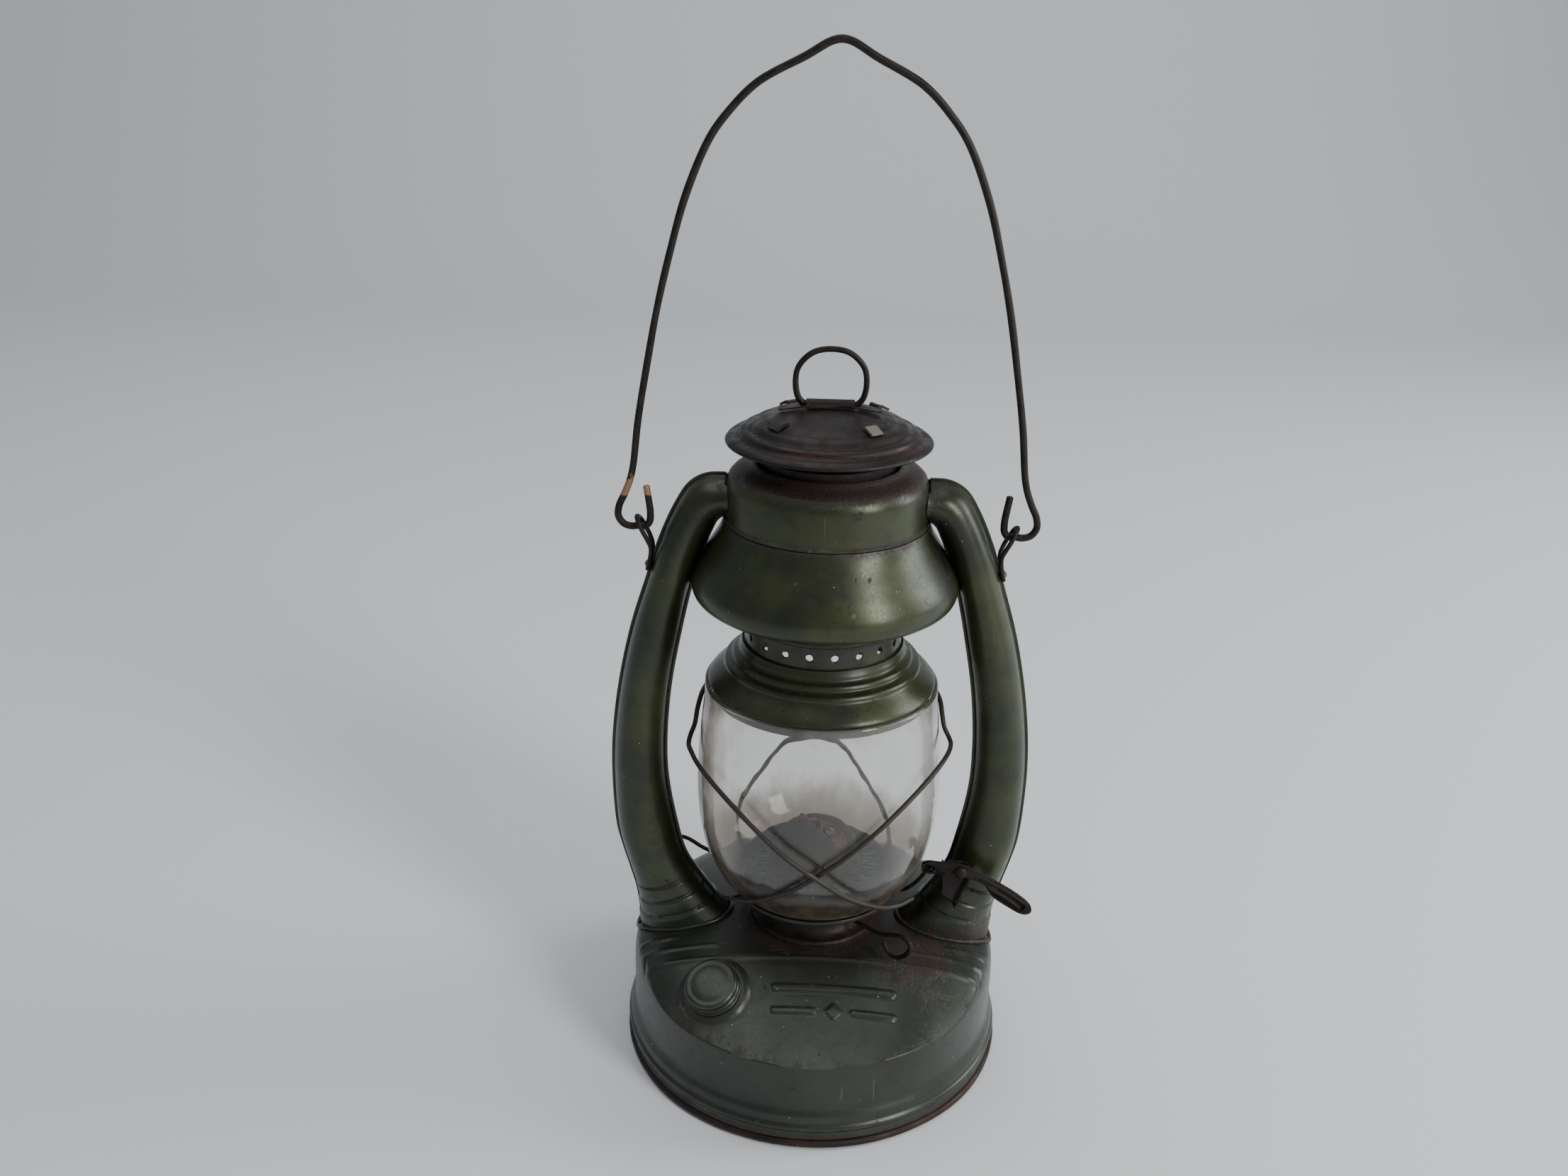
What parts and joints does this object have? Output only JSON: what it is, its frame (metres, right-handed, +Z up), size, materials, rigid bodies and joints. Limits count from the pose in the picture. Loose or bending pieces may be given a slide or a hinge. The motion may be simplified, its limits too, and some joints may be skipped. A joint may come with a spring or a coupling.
{
  "type": "barn lantern",
  "caption": "Tubular kerosene barn lantern: round tank with filler cap, side air tubes, glass globe in a wire guard, vented hood and canopy, swinging wire bail.",
  "frame": {"origin": "centre of the base, on the surface that the lantern stands on", "axes": "+Z up, -Y to the front with the sloping panel and filler cap, the two air tubes along +X and -X with the lift lever at +X"},
  "size_m": [0.214, 0.197, 0.4975],
  "materials": {
    "green_enamel": "olive green baked enamel, satin gloss, chipped and rusty at the edges",
    "rusted_tin": "tinplate with a brown-black rust film",
    "dark_wire": "dark oxidised steel wire, worn and lightly rusted",
    "tarnished_brass": "sooty tarnished brass",
    "clear_glass": "clear glass with brown grime at its edges",
    "cotton_wick": "woven flat cotton wick, charred at the top",
    "cork": "old cork sealing ring"
  },
  "bodies": {
    "frame": {"tank_shell": "green_enamel", "tank_bottom": "rusted_tin", "foot_ring": "rusted_tin", "air_trough": "rusted_tin", "filler_neck": "green_enamel", "burner_collar": "rusted_tin", "burner_body": "tarnished_brass", "wick_tube": "tarnished_brass", "left_tube_front": "green_enamel", "left_tube_rear": "green_enamel", "right_tube_front": "green_enamel", "right_tube_rear": "green_enamel", "left_ear": "dark_wire", "right_ear": "dark_wire", "crown": "green_enamel", "bell": "green_enamel", "chimney_spring": "dark_wire", "lever_bracket": "rusted_tin", "lever_pin": "dark_wire"},
    "globe_carriage": {"globe_plate": "green_enamel", "air_deck": "rusted_tin", "burner_cone": "tarnished_brass", "globe": "clear_glass", "guard_wire": "dark_wire", "rear_guard_wire": "dark_wire", "lift_wire": "dark_wire"},
    "hood_assembly": {"hood": "green_enamel", "perforated_neck": "green_enamel", "chimney": "rusted_tin", "canopy": "rusted_tin", "canopy_spider": "rusted_tin", "canopy_bridge": "rusted_tin"},
    "lifting_ring": {"lifting_ring": "dark_wire"},
    "lever": {"lift_lever": "dark_wire"},
    "wick_raiser": {"wick_raiser": "dark_wire", "spur_wheel_inner": "tarnished_brass", "spur_wheel_outer": "tarnished_brass"},
    "wick": {"wick": "cotton_wick"},
    "filler_gasket": {"filler_gasket": "cork"},
    "filler_cap": {"filler_cap": "green_enamel"},
    "bail": {"bail": "dark_wire"}
  },
  "joints": [
    {"name": "lever_turn", "type": "hinge", "parent": "frame", "child": "lever", "pos_m": [0.073, -0.0203, 0.1095], "axis": [0, 1, 0], "range_deg": [0, 35]},
    {"name": "globe_lift", "type": "slide", "parent": "frame", "child": "globe_carriage", "axis": [0, 0, 1], "range_m": [0, 0.00937]},
    {"name": "hood_lift", "type": "slide", "parent": "globe_carriage", "child": "hood_assembly", "axis": [0, 0, 1], "range_m": [0, 0.008], "stiffness_N_per_m": 300, "springref_m": -0.012, "deforming": ["chimney_spring"]},
    {"name": "ring_swing", "type": "hinge", "parent": "hood_assembly", "child": "lifting_ring", "pos_m": [0, 0, 0.34295], "axis": [1, 0, 0], "range_deg": [-72, 72]},
    {"name": "wick_turn", "type": "hinge", "parent": "frame", "child": "wick_raiser", "pos_m": [-0.00424, -0.00506, 0.0809], "axis": [0.766, -0.6428, 0], "range_deg": [-115, 115]},
    {"name": "wick_slide", "type": "slide", "parent": "frame", "child": "wick", "axis": [0, 0, 1], "range_m": [-0.0072, 0.0072]},
    {"name": "cap_lift", "type": "slide", "parent": "frame", "child": "filler_gasket", "axis": [-0.177, -0.4309, 0.8849], "range_m": [0, 0.00501]},
    {"name": "cap_turn", "type": "hinge", "parent": "filler_gasket", "child": "filler_cap", "pos_m": [-0.048, -0.057, 0.0579], "axis": [-0.177, -0.4309, 0.8849], "range_deg": [0, 720]},
    {"name": "bail_swing", "type": "hinge", "parent": "frame", "child": "bail", "pos_m": [0, 0, 0.281], "axis": [1, 0, 0], "range_deg": [-105, 105]}
  ],
  "couplings": [
    {"joint": "lever_turn", "follows": "globe_lift", "rad_per_m": 65.147},
    {"joint": "wick_turn", "follows": "wick_slide", "rad_per_m": 277.78},
    {"joint": "cap_lift", "follows": "cap_turn", "m_per_rad": 0.00039789}
  ]
}
